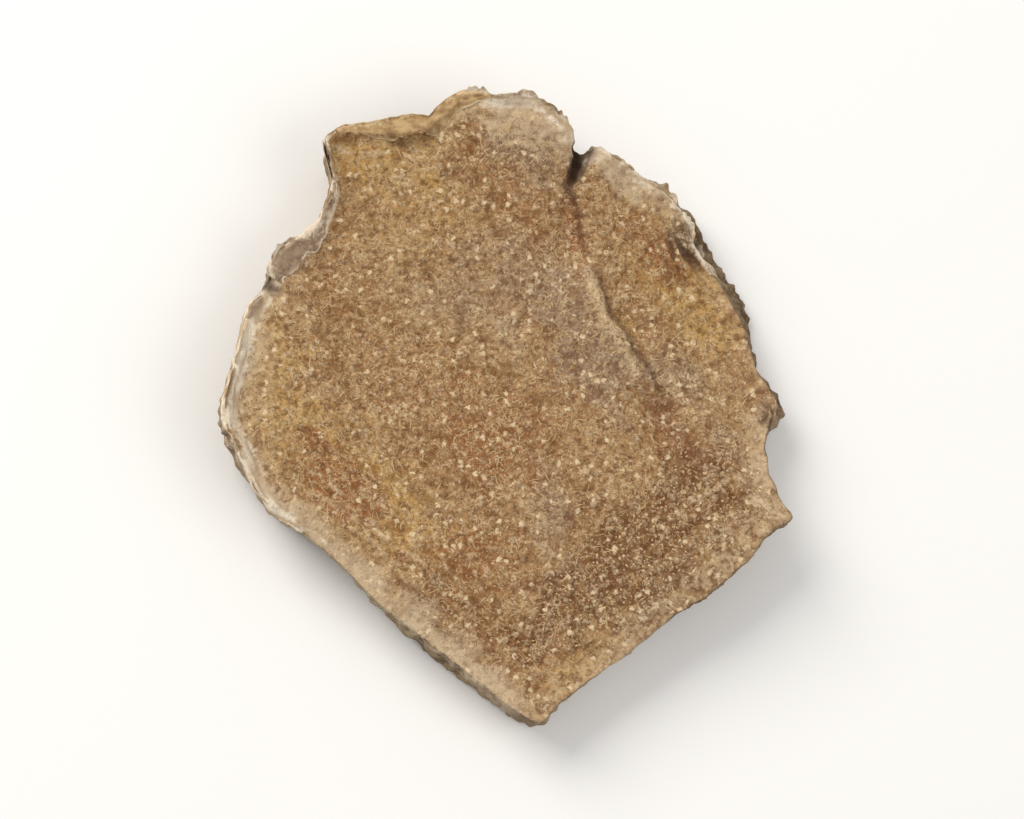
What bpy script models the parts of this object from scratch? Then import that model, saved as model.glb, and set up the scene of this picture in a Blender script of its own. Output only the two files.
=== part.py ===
"""A dried slice of zedoary root: one cross cut of the rhizome, lying on its lower cut face.

The slice grew and dried as one piece, so it is one solid. Its outline, the skin standing up round
the shrunken cut face, the folded-in lip, the crack, the crease and the slab's slow warp are all
worked out from the sizes below. They are in millimetres, with +Z up out of the upper cut face, and
their places are measured from the middle of growth. CENTRE then moves the whole slice, so that the
origin lies on the surface that it rests on, under the middle of its box. Angles are in degrees,
counterclockwise from +X seen from above. Blender gets metres.
"""

import math
from dataclasses import dataclass

import bmesh
import bpy
from mathutils import Vector, noise

MM = 0.001

# Driving sizes
SLICE_RADIUS = 17.0  # middle of the slice to a middling stretch of rim
CENTRE = (-0.40, -0.25)  # where the middle of growth lies, from the middle of the slice's box
THICKNESS = 3.1  # between the two cut faces
SKIN = 0.45  # thickness of the skin where it stands clear of the flesh

# The outline, as (angle, share of the slice radius), counterclockwise from the right-hand side
OUTLINE = (
    # bud scar on the right, then the right shoulder
    (0.0, 0.981), (4.0, 0.989), (11.5, 0.940), (20.5, 0.944), (29.0, 0.933), (40.0, 0.936),
    (49.0, 0.981), (57.0, 0.996), (65.5, 0.997), (71.6, 1.012),
    # mouth of the crack, then the frayed top edge
    (74.4, 0.992), (77.0, 1.052), (81.0, 1.094), (86.5, 1.136), (92.0, 1.119), (97.0, 1.145),
    # folded lip and the corner it ends in
    (101.0, 1.119), (106.0, 1.078), (112.0, 1.098), (120.5, 1.140), (124.7, 1.140), (126.6, 1.062),
    # bay below the corner, with the tear
    (130.5, 0.966), (139.5, 0.925), (148.0, 0.964), (154.5, 0.943), (163.0, 0.965),
    # left-hand lip
    (171.0, 0.956), (179.0, 0.975), (187.0, 0.986), (192.0, 0.955), (201.0, 0.938), (209.0, 0.896),
    # long straight edge down to the tip
    (216.0, 0.836), (229.5, 0.816), (239.5, 0.836), (252.0, 0.874), (263.5, 0.960), (275.4, 1.112),
    # lower right edge, up to the spur where the crease runs out
    (280.0, 1.058), (288.0, 0.999), (297.5, 0.963), (308.0, 0.942), (318.0, 0.973), (327.5, 1.005),
    (335.0, 1.029), (339.7, 1.085), (342.6, 1.013), (350.0, 0.959), (356.0, 0.948),
)
SPOKES_PER_STRETCH = 3  # spokes of the mesh between two points of the outline

# The slab rests on three low spots round its weight, and its rim lifts between them
LOW_SPOTS = (13.0, 145.0, 272.0)
LOW_SPOT_REACH = 44.0
RIM_LIFT = 1.1
SOLE = 0.35  # how far the skin stands below the lower cut face
LOW_SPOT_WIDTH = 12.0  # of the part of each low spot that is pressed flat, to either side
LOW_SPOT_FLAT = 1.6  # above 1, so that more than its very middle is flat
LOW_SPOT_SPREAD = 0.9  # how much further in the skin reaches on it
LOW_SPOT_FOOT = 1.1  # how much further in the lower cut face starts there
FACE_SINK = 0.3  # how far the middle of a cut face has shrunk below its margin
SWELL = 0.22  # height of the slow swells in the cut faces
SWELL_LENGTH = 7.0

# The divide: the line of the crack, of the valley that it dies out in and of the crease from there
# to the spur. The face falls away beyond it, on its right-hand side as seen from the crack's mouth.
DIVIDE = (
    (4.66, 17.40), (4.30, 14.90), (3.95, 13.70), (4.60, 11.60), (4.95, 9.40),
    (6.20, 6.20), (8.00, 3.10), (11.20, -1.90), (14.30, -4.90), (17.60, -6.50),
)
CRACK_LENGTH = 4.0
CRACK_DEPTH = 2.2
CRACK_HALF_WIDTH = 0.36
CRACK_TIP = 0.35  # its width at its inner end, as a share of that at the mouth
CRACK_TAPER = 0.7  # below 1, so that it stays deep for most of its length
SHOULDER_FALL = 0.75
SHOULDER_WIDTH = 9.0

# Rings of the mesh on the cut faces, as shares of the way from the middle to the margin
FACE_RINGS = (0.12, 0.25, 0.37, 0.46, 0.54, 0.61, 0.68, 0.75, 0.82, 0.88, 0.94)
UNDER_RINGS = (0.92, 0.74, 0.54, 0.30)
MARGIN = 3.2  # the margin's inner edge, in from the rim
MARGIN_BEND = 0.6  # share of the way out over the margin where it bends down
FACE_FOOT = 0.55  # the gap in which the face turns up into the skin
UNDER_MARGIN = 2.6
UNDER_FOOT = 1.15  # where the lower cut face starts, in from the skin's foot
SOLE_EDGES = (0.30, 0.62)  # the outer and inner edge that the skin stands on, in from its foot
SKIN_RINGS = (0.88, 0.74, 0.60, 0.46, 0.33, 0.20, 0.09)  # heights up the skin

WRINKLE = 0.26
WRINKLE_LENGTH = 1.9
WRINKLE_TURN = 0.8  # how much a wrinkle changes from foot to head
LEAN = 0.9  # how far the skin's foot strays in under its head
LEAN_MIDDLE = 0.25
LEAN_LENGTH = 6.0
WAIST = 0.35  # how far the skin has shrunk in half way up
LEAF_SCAR = 0.30  # the raised line of a leaf scar round the skin
LEAF_SCAR_HEIGHT = 0.52  # as a share of the way up the skin
LEAF_SCAR_WANDER = 0.30  # how far it wanders up and down
LEAF_SCAR_WIDTH = 0.20
LIP_LEAST = 0.04  # the skin's edge where it has shrunk down level with the face

# Places in the noise field, so that nothing repeats
UPPER_SEED = 1.7
LOWER_SEED = 5.3
LEAN_SEED = 9.1
SCAR_SEED = 4.4


@dataclass(frozen=True)
class RimStretch:
    """How the skin stands at one stretch of the rim, fading out over its reach."""

    angle: float
    reach: float
    lip: float = 0.0  # height of the skin's edge above the cut face
    curl: float = 0.0  # how far that edge leans in over the face
    flare: float = 0.0  # how far the skin's foot stands out past its head
    roll: float = 0.0  # how far the face bends down over the margin
    bulge: float = 0.0  # swelling of the skin half way up
    slope: float = 0.0  # how far in over the face the inside of a lip that opens outwards comes


@dataclass(frozen=True)
class LipRing:
    """A ring of the skin's edge, as shares of what the rim has at each place."""

    skin: float  # of the skin's thickness, in from the rim
    gap: float  # further in, in millimetres
    curl: float
    slope: float
    height: float  # of the lip's height, up from the face
    cut: float  # of the crack's depth, down


@dataclass(frozen=True)
class DivideRelief:
    """A ridge, or a furrow where its height is negative, along the divide, fading out over its reach."""

    at: float  # distance from the crack's mouth
    reach: float
    beside: float  # distance beyond the divide
    half_width: float
    height: float


DIVIDE_RELIEF = (
    DivideRelief(at=6.0, reach=6.5, beside=-0.4, half_width=1.6, height=-0.55),  # crack's valley
    DivideRelief(at=3.0, reach=8.0, beside=1.4, half_width=1.7, height=0.38),  # lifted shoulder edge
    DivideRelief(at=11.4, reach=5.6, beside=-0.5, half_width=1.4, height=0.50),  # the crease's ridge
    DivideRelief(at=12.4, reach=5.2, beside=1.0, half_width=1.4, height=-0.38),  # its shaded side
    DivideRelief(at=19.0, reach=6.0, beside=-0.2, half_width=1.5, height=-0.62),  # furrow to the spur
    DivideRelief(at=26.4, reach=4.6, beside=0.9, half_width=0.9, height=0.36),  # pleats at the spur
    DivideRelief(at=26.0, reach=4.4, beside=-1.2, half_width=0.9, height=0.32),
)
# The skin's edge: up its inner side, over its top and down to the outside
LIP_RINGS = (
    LipRing(skin=1.0, gap=0.22, curl=0.10, slope=0.70, height=0.15, cut=0.0),
    LipRing(skin=1.0, gap=0.12, curl=0.62, slope=0.38, height=0.60, cut=0.0),
    LipRing(skin=1.0, gap=0.0, curl=0.95, slope=0.0, height=1.02, cut=0.24),
    LipRing(skin=0.5, gap=0.0, curl=0.70, slope=0.0, height=1.13, cut=0.24),
    LipRing(skin=0.12, gap=0.0, curl=0.22, slope=0.0, height=0.77, cut=0.24),
)
RIM = (
    RimStretch(angle=184.0, reach=34.0, lip=0.62, curl=0.10, slope=0.15),  # left-hand lip, thin as paper
    RimStretch(angle=157.0, reach=6.0, lip=-0.45, curl=-0.10),  # the tear in it
    RimStretch(angle=143.0, reach=15.0, lip=0.85, slope=0.75, flare=0.10),
    RimStretch(angle=126.0, reach=9.0, lip=0.70, curl=0.15),  # the corner
    RimStretch(angle=111.0, reach=14.0, lip=0.55, curl=1.30),  # skin folded in over the face
    RimStretch(angle=89.0, reach=14.0, lip=0.42, curl=0.05),  # frayed top edge
    RimStretch(angle=58.0, reach=18.0, lip=0.22, roll=0.15),
    RimStretch(angle=38.0, reach=38.0, flare=1.90, roll=0.30),  # skin seen below the shoulder
    RimStretch(angle=3.0, reach=8.0, lip=0.15, bulge=0.75),  # bud scar
    RimStretch(angle=339.7, reach=9.0, lip=0.18, roll=0.20),  # the spur
    RimStretch(angle=305.0, reach=42.0, roll=0.50, flare=0.12),
    RimStretch(angle=238.0, reach=36.0, roll=0.55, flare=0.10),  # bevel of the long edge
)


def clear_scene():
    """Removes whatever the scene holds."""
    for obj in list(bpy.data.objects):
        bpy.data.objects.remove(obj, do_unlink=True)


def bell(distance, reach):
    """1 at no distance, falling smoothly to 0 at the reach and beyond."""
    share = min(abs(distance) / reach, 1.0)
    return (1.0 - share * share) ** 2


def ease(share):
    """0 to 1 along a smooth S, held at both ends."""
    share = min(max(share, 0.0), 1.0)
    return share * share * (3.0 - 2.0 * share)


def turn(angle, other):
    """The signed turn in degrees from the other angle to this one, the short way round."""
    return (angle - other + 180.0) % 360.0 - 180.0


def rim_value(name, angle):
    """The sum of one property of the rim's stretches at an angle."""
    return sum(getattr(s, name) * bell(turn(angle, s.angle), s.reach) for s in RIM)


def outline_points():
    """Points round the outline, evenly spaced between its stated points on one smooth closed curve."""
    stated = [
        Vector((math.cos(math.radians(a)), math.sin(math.radians(a)))) * share * SLICE_RADIUS
        for a, share in OUTLINE
    ]
    count = len(stated)
    points = []
    for i in range(count):
        before, start, end, after = (stated[(i + k) % count] for k in (-1, 0, 1, 2))
        for step in range(SPOKES_PER_STRETCH):
            t = step / SPOKES_PER_STRETCH
            points.append(
                0.5 * (
                    2.0 * start
                    + (end - before) * t
                    + (2.0 * before - 5.0 * start + 4.0 * end - after) * t * t
                    + (3.0 * start - before - 3.0 * end + after) * t ** 3
                )
            )
    return points


def divide_place(point):
    """(distance beyond the divide, negative short of it; distance along it from the crack's mouth)."""
    best = None
    walked = 0.0
    for a, b in zip(DIVIDE, DIVIDE[1:]):
        start = Vector(a)
        length = (Vector(b) - start).length
        along = (Vector(b) - start) / length
        reach = min(max((point - start).dot(along), 0.0), length)
        gap = (point - start - along * reach).length
        beyond = gap if along.cross(point - start) > 0.0 else -gap
        if best is None or gap < abs(best[0]):
            best = (beyond, walked + reach)
        walked += length
    return best


def lift(point):
    """The slab's warp: how far it rises off the table at a point, most at the rim between low spots."""
    angle = math.degrees(math.atan2(point.y, point.x))
    held = sum(bell(turn(angle, spot), LOW_SPOT_REACH) for spot in LOW_SPOTS)
    return RIM_LIFT * (1.0 - held) * (point.length / SLICE_RADIUS) ** 2


def shrink(point):
    """How far a cut face has shrunk below its margin at a point."""
    return FACE_SINK * (1.0 - min(point.length / SLICE_RADIUS, 1.0) ** 4)


def swell(point, seed):
    """Slow swells of a cut face, different for each seed."""
    place = Vector((point.x / SWELL_LENGTH, point.y / SWELL_LENGTH, seed))
    return SWELL * noise.noise(place)


def crack_cut(point):
    """How deep the crack cuts into the face at a point."""
    beyond, along = divide_place(point)
    left = max(1.0 - along / CRACK_LENGTH, 0.0)
    width = CRACK_HALF_WIDTH * (CRACK_TIP + (1.0 - CRACK_TIP) * left)
    return CRACK_DEPTH * left ** CRACK_TAPER * max(1.0 - abs(beyond) / width, 0.0)


def divide_rise(point):
    """The ridges and furrows along the divide, and the fall of the face beyond it."""
    beyond, along = divide_place(point)
    rise = sum(
        r.height * bell(along - r.at, r.reach) * bell(beyond - r.beside, r.half_width)
        for r in DIVIDE_RELIEF
    )
    return rise - SHOULDER_FALL * ease(beyond / SHOULDER_WIDTH)


def face_height(point):
    """Height of the upper cut face at a point."""
    flat = SOLE + THICKNESS + lift(point) - shrink(point) + swell(point, UPPER_SEED)
    return flat + divide_rise(point) - crack_cut(point)


def under_height(point):
    """Height of the lower cut face at a point."""
    return SOLE + lift(point) + shrink(point) + swell(point, LOWER_SEED)


def lean(rim):
    """How far the skin's foot stands out past its head at a point of the rim, mostly less than 0."""
    stray = noise.noise(Vector((rim.x / LEAN_LENGTH, rim.y / LEAN_LENGTH, LEAN_SEED)))
    return -LEAN * max(stray + LEAN_MIDDLE, 0.0)


def in_from(rim, inset):
    """The point that far in from a point of the rim, towards the middle."""
    return rim * (1.0 - inset / rim.length)


def face_rings(rim):
    """The upper cut face along one spoke, from near the middle out to the foot of the skin."""
    angle = math.degrees(math.atan2(rim.y, rim.x))
    roll = rim_value("roll", angle)
    foot = SKIN + FACE_FOOT + rim_value("slope", angle)
    insets = [rim.length - (rim.length - MARGIN) * share for share in FACE_RINGS]
    insets += [MARGIN, MARGIN + MARGIN_BEND * (foot - MARGIN), foot]
    rings = []
    for inset in insets:
        point = in_from(rim, inset)
        bent = roll * ease(1.0 - inset / MARGIN)
        rings.append((point, face_height(point) - bent))
    return rings


def lip_rings(rim, face):
    """The skin's edge along one spoke, up from the face, over the top and down to the outside."""
    angle = math.degrees(math.atan2(rim.y, rim.x))
    lip = max(rim_value("lip", angle), LIP_LEAST)
    curl = rim_value("curl", angle)
    slope = rim_value("slope", angle)
    cut = crack_cut(in_from(rim, 0.5 * SKIN))
    rings = []
    for ring in LIP_RINGS:
        inset = ring.skin * SKIN + ring.gap + ring.curl * curl + ring.slope * slope
        rings.append((in_from(rim, inset), face + ring.height * lip - ring.cut * cut))
    return rings


def skin_rings(rim, head, sole):
    """The skin along one spoke, from under its edge down to the sole."""
    angle = math.degrees(math.atan2(rim.y, rim.x))
    flare = rim_value("flare", angle)
    bulge = rim_value("bulge", angle)
    wander = noise.noise(Vector((rim.x / LEAN_LENGTH, rim.y / LEAN_LENGTH, SCAR_SEED)))
    scar_height = LEAF_SCAR_HEIGHT + LEAF_SCAR_WANDER * wander
    rings = []
    for share in SKIN_RINGS:
        place = Vector((rim.x / WRINKLE_LENGTH, rim.y / WRINKLE_LENGTH, share * WRINKLE_TURN))
        wrinkle = WRINKLE * noise.noise(place)
        scar = LEAF_SCAR * bell(share - scar_height, LEAF_SCAR_WIDTH)
        waist = (bulge - WAIST) * math.sin(math.pi * share)
        out = (flare + lean(rim)) * (1.0 - share) + waist + wrinkle + scar
        rings.append((in_from(rim, -out), sole + (head - sole) * share))
    return rings


def under_rings(rim):
    """The sole and the lower cut face along one spoke, from the outside in."""
    angle = math.degrees(math.atan2(rim.y, rim.x))
    flare = rim_value("flare", angle) + lean(rim)
    pressed = max(bell(turn(angle, spot), LOW_SPOT_WIDTH) for spot in LOW_SPOTS)
    outer, inner = SOLE_EDGES
    rings = []
    for inset in (outer - flare, inner + LOW_SPOT_SPREAD * pressed - flare):
        point = in_from(rim, inset)
        clear = max(under_height(point) - SOLE, 0.0)
        rings.append((point, clear * (1.0 - ease(LOW_SPOT_FLAT * pressed))))
    foot = UNDER_FOOT + LOW_SPOT_FOOT * pressed
    insets = [foot, UNDER_MARGIN] + [rim.length - (rim.length - MARGIN) * s for s in UNDER_RINGS]
    for inset in insets:
        point = in_from(rim, inset)
        rings.append((point, under_height(point)))
    return rings


def placed(point, height):
    """A place of the mesh, in metres from the origin."""
    return Vector((point.x + CENTRE[0], point.y + CENTRE[1], height)) * MM


def spoke_rings(rim):
    """All the places along one spoke, from the middle of the upper face round to the middle below."""
    face = face_rings(rim)
    lip = lip_rings(rim, face[-1][1])
    under = under_rings(rim)
    skin = skin_rings(rim, lip[-1][1], under[0][1])
    return [placed(p, z) for p, z in face + lip + skin + under]


def slice_mesh():
    """The closed mesh: a fan in the middle of the upper face, grown ring by ring round the rim."""
    spokes = [spoke_rings(rim) for rim in outline_points()]
    bm = bmesh.new()
    spoke_of = bm.verts.layers.int.new("spoke")
    bmesh.ops.create_circle(bm, segments=len(spokes), radius=MM, cap_ends=True, cap_tris=True)
    rim_verts = [v for v in bm.verts if v.is_boundary]
    middle = next(v for v in bm.verts if not v.is_boundary)
    origin = Vector((0.0, 0.0))
    middle.co = placed(origin, face_height(origin))
    rim_verts.sort(key=lambda v: math.atan2(v.co.y, v.co.x) % math.tau)
    for i, vert in enumerate(rim_verts):
        vert[spoke_of] = i
        vert.co = spokes[i][0]
    edges = [e for e in bm.edges if e.is_boundary]
    for ring in range(1, len(spokes[0])):
        grown = bmesh.ops.extrude_edge_only(bm, edges=edges)["geom"]
        edges = [g for g in grown if isinstance(g, bmesh.types.BMEdge) and g.is_boundary]
        for vert in (g for g in grown if isinstance(g, bmesh.types.BMVert)):
            vert.co = spokes[vert[spoke_of]][ring]
    closing = bmesh.ops.contextual_create(bm, geom=edges)["faces"]
    below = bmesh.ops.poke(bm, faces=closing)["verts"][0]
    below.co = placed(origin, under_height(origin))
    bmesh.ops.triangulate(bm, faces=bm.faces[:])
    bmesh.ops.recalc_face_normals(bm, faces=bm.faces[:])
    mesh = bpy.data.meshes.new("zedoary_slice")
    bm.to_mesh(mesh)
    bm.free()
    return mesh


def dried_root():
    """Dull dried flesh: tan, dry and matt all over."""
    material = bpy.data.materials.new("dried_root")
    material.use_nodes = True
    surface = material.node_tree.nodes["Principled BSDF"]
    surface.inputs["Base Color"].default_value = (0.352, 0.212, 0.107, 1.0)
    surface.inputs["Roughness"].default_value = 0.85
    surface.inputs["Metallic"].default_value = 0.0
    return material


def main():
    """Builds the slice."""
    clear_scene()
    mesh = slice_mesh()
    mesh.materials.append(dried_root())
    mesh.shade_smooth()
    mesh.set_sharp_from_angle(angle=math.radians(50.0))
    obj = bpy.data.objects.new("zedoary_slice", mesh)
    bpy.context.scene.collection.objects.link(obj)


main()
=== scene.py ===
"""Dresses a dried slice of zedoary root: grainy cut flesh, papery skin, frayed flakes and fibres.

Sizes are in millimetres unless a docstring says otherwise, with the origin on the table under the
middle of the slice, +Y towards the frayed top edge and +Z up. Angles are in degrees, counterclockwise
from +X seen from above. Blender gets metres.
"""

from __future__ import annotations

import logging
import math
import random
from dataclasses import dataclass, field
from enum import Enum

import bmesh
import bpy
import numpy as np
from mathutils import Matrix, Vector, noise
from mathutils.bvhtree import BVHTree
from mathutils.kdtree import KDTree


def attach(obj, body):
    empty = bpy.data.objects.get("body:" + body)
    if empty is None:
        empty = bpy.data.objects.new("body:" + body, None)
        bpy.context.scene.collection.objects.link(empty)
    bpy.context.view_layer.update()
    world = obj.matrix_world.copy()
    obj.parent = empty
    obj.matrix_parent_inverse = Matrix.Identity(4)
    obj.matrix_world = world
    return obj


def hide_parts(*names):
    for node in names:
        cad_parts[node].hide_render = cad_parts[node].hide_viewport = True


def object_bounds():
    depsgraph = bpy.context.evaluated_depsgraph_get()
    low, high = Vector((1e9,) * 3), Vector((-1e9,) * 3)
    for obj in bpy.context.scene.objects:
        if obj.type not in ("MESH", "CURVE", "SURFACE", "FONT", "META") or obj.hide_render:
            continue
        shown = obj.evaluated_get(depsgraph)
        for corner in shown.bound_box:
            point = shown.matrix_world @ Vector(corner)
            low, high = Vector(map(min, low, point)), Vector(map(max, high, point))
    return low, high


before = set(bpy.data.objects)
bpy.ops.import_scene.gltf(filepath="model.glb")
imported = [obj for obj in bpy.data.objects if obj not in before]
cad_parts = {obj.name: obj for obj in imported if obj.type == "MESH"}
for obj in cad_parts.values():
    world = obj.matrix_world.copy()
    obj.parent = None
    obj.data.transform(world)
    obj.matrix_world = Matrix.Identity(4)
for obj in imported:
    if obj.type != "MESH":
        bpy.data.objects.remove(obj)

CAD_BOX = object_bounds()
MM = 0.001
HIGHEST = CAD_BOX[1][2] / MM + 0.1
ABOVE = 0.02
BODY = "root"

Socket = bpy.types.NodeSocket

log = logging.getLogger("zedoary")


class Side(Enum):
    """The two cut faces of the slice."""

    UPPER = 1
    LOWER = -1


class Tint(Enum):
    """Colourings of the dried flesh that lie in patches, named as their vertex attributes."""

    PALE = "pale"
    YELLOW = "yellow"
    STAIN = "stain"
    RUST = "rust"
    MAUVE = "mauve"
    COARSE = "coarse"
    OLIVE = "olive"


def linear(hex_colour: str) -> tuple[float, float, float, float]:
    """Turns an sRGB colour into the linear one that shaders take.

    Args:
        hex_colour: The colour as #rrggbb.

    Returns:
        Linear red, green, blue and an alpha of 1.
    """
    channels = (int(hex_colour[i:i + 2], 16) / 255.0 for i in (1, 3, 5))
    red, green, blue = (
        c / 12.92 if c <= 0.04045 else ((c + 0.055) / 1.055) ** 2.4 for c in channels
    )
    return red, green, blue, 1.0


def per_metre(size: float) -> float:
    """The scale of a texture whose lumps measure this many millimetres."""
    return 1.0 / (size * MM)


def ramp(low: float, high: float, values: np.ndarray) -> np.ndarray:
    """Maps values to 0 at low and 1 at high, along a smooth S.

    Args:
        low: The value that gives 0. It may be above high, for a falling ramp.
        high: The value that gives 1.
        values: The values to map.

    Returns:
        An array of the same shape, held at 0 and 1 beyond the ends.
    """
    share = clamped((values - low) / (high - low))
    return share * share * (3.0 - 2.0 * share)


def clamped(values: np.ndarray) -> np.ndarray:
    """The values, held between 0 and 1."""
    return np.clip(values, 0.0, 1.0)


def hump(values: np.ndarray, half_width: float) -> np.ndarray:
    """1 where the values are 0, falling to about a third at the half width."""
    return np.exp(-((values / half_width) ** 2))


def turned(angles: np.ndarray, centre: float) -> np.ndarray:
    """The signed turn in degrees from the centre to each angle, the short way round."""
    return (angles - centre + 180.0) % 360.0 - 180.0


def bearings(points: np.ndarray) -> np.ndarray:
    """The angle of each point round the middle, from 0 to 360 degrees."""
    return np.degrees(np.arctan2(points[:, 1], points[:, 0])) % 360.0


def noise_at(points: np.ndarray, size: float, seed: float) -> np.ndarray:
    """Smooth noise over points.

    Args:
        points: An N x 3 array of places in millimetres.
        size: The size of the lumps in millimetres.
        seed: Moves the noise to another part of its field.

    Returns:
        N values from about -1 to 1, mostly within 0.6 of 0.
    """
    return np.array([noise.noise(Vector(place)) for place in points / size + seed])


def grains_at(points: np.ndarray, size: float, seed: float) -> tuple[np.ndarray, np.ndarray]:
    """Grains packed in space, as the points meet them.

    Args:
        points: An N x 3 array of places in millimetres.
        size: The spacing of the grains in millimetres.
        seed: Moves the grains to another part of their field.

    Returns:
        How far into its grain each point lies, from 0 at its border to 1 at its middle, and a
        number from 0 to 1 that all the points of one grain share.
    """
    depth = np.empty(len(points))
    lot = np.empty(len(points))
    for i, place in enumerate(points / size + seed):
        distances, centres = noise.voronoi(Vector(place))
        depth[i] = 1.0 - distances[0] / max(distances[1], 1e-6)
        lot[i] = 0.5 + 0.5 * noise.cell(centres[0] * 9.7)
    return depth, lot


def beside(
    path: tuple[tuple[float, float], ...], x: np.ndarray, y: np.ndarray
) -> tuple[np.ndarray, np.ndarray]:
    """Places points beside a line drawn in plan.

    Args:
        path: The line's points.
        x: Places along X.
        y: Places along Y.

    Returns:
        How far left of the line each point lies, negative right of it, and how far along it.
    """
    beyond = np.full(len(x), 1e9)
    along = np.zeros(len(x))
    walked = 0.0
    for (ax, ay), (bx, by) in zip(path, path[1:]):
        length = math.hypot(bx - ax, by - ay)
        ux, uy = (bx - ax) / length, (by - ay) / length
        reach = np.clip((x - ax) * ux + (y - ay) * uy, 0.0, length)
        gap = np.hypot(x - ax - reach * ux, y - ay - reach * uy)
        signed = np.where(ux * (y - ay) - uy * (x - ax) > 0.0, gap, -gap)
        nearer = gap < np.abs(beyond)
        beyond = np.where(nearer, signed, beyond)
        along = np.where(nearer, walked + reach, along)
        walked += length
    return beyond, along


def set_inputs(node: bpy.types.Node, values: dict[str | int, object]) -> None:
    """Links each named or numbered input to the socket given for it, or sets it to the value."""
    for key, value in values.items():
        if isinstance(value, Socket):
            node.id_data.links.new(value, node.inputs[key])
        else:
            node.inputs[key].default_value = value


def add_node(
    tree: bpy.types.NodeTree,
    kind: str,
    links: dict[str | int, object] | None = None,
    **settings: object,
) -> bpy.types.Node:
    """Adds a node to a tree.

    Args:
        tree: The node tree.
        kind: The node's type.
        links: For each input, by name or number, a socket to link to it or a value to set.
        **settings: The node's own properties.

    Returns:
        The new node.
    """
    node = tree.nodes.new(kind)
    for name, value in settings.items():
        setattr(node, name, value)
    set_inputs(node, links or {})
    return node


def linked(name: str, data: bpy.types.ID) -> bpy.types.Object:
    """A new object of that name in the scene, made of a mesh, a curve, a light or a camera."""
    made = bpy.data.objects.new(name, data)
    bpy.context.scene.collection.objects.link(made)
    return made


def vertex_places(mesh: bpy.types.Mesh) -> np.ndarray:
    """The mesh's vertices in millimetres, as an N x 3 array."""
    points = np.empty(3 * len(mesh.vertices))
    mesh.vertices.foreach_get("co", points)
    return points.reshape(-1, 3) / MM


def vertex_values(mesh: bpy.types.Mesh, name: str) -> np.ndarray:
    """The values of a mesh's vertex attribute."""
    values = np.empty(len(mesh.vertices))
    mesh.attributes[name].data.foreach_get("value", values)
    return values


def surface_tree(piece: bpy.types.Object) -> BVHTree:
    """A piece's surface, in metres, for rays."""
    return BVHTree.FromObject(piece, bpy.context.evaluated_depsgraph_get())


def mesh_object(name: str, bm: bmesh.types.BMesh, finish: bpy.types.Material) -> bpy.types.Object:
    """Makes an object of a bmesh, in metres at the origin, and frees the bmesh.

    Args:
        name: The new piece's name.
        bm: Its shape.
        finish: Its material.

    Returns:
        The piece, smooth shaded and linked to the scene.
    """
    mesh = bpy.data.meshes.new(name)
    bm.to_mesh(mesh)
    bm.free()
    mesh.materials.append(finish)
    mesh.shade_smooth()
    return linked(name, mesh)


def applied(piece: bpy.types.Object) -> bpy.types.Object:
    """Turns a piece with modifiers, or a curve, into a plain mesh piece of the same name.

    Args:
        piece: The piece. It is removed.

    Returns:
        The plain mesh piece.
    """
    bpy.context.view_layer.update()
    shaped = piece.evaluated_get(bpy.context.evaluated_depsgraph_get())
    mesh = bpy.data.meshes.new_from_object(shaped)
    name = piece.name
    bpy.data.objects.remove(piece, do_unlink=True)
    mesh.name = name
    return linked(name, mesh)


def hand_over(piece: bpy.types.Object) -> None:
    """Rides a piece on the slice's body and reports its triangles."""
    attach(piece, BODY)
    mesh = piece.data
    mesh.calc_loop_triangles()
    log.info("%s: %d triangles", piece.name, len(mesh.loop_triangles))


@dataclass(frozen=True)
class Patch:
    """An oval patch of a tint on the cut face, with a border that wanders."""

    x: float
    y: float
    long: float
    short: float
    turn: float = 0.0
    strength: float = 1.0

    def over(self, x: np.ndarray, y: np.ndarray, wander: np.ndarray) -> np.ndarray:
        """How strongly the patch tints each place.

        Args:
            x: Places along X.
            y: Places along Y.
            wander: Noise that moves the patch's border in and out.

        Returns:
            Values from 0 to the patch's strength.
        """
        turn = math.radians(self.turn)
        ahead = (x - self.x) * math.cos(turn) + (y - self.y) * math.sin(turn)
        aside = (y - self.y) * math.cos(turn) - (x - self.x) * math.sin(turn)
        away = np.hypot(ahead / self.long, aside / self.short)
        return self.strength * ramp(1.15, 0.35, away + 0.55 * wander)


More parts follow.
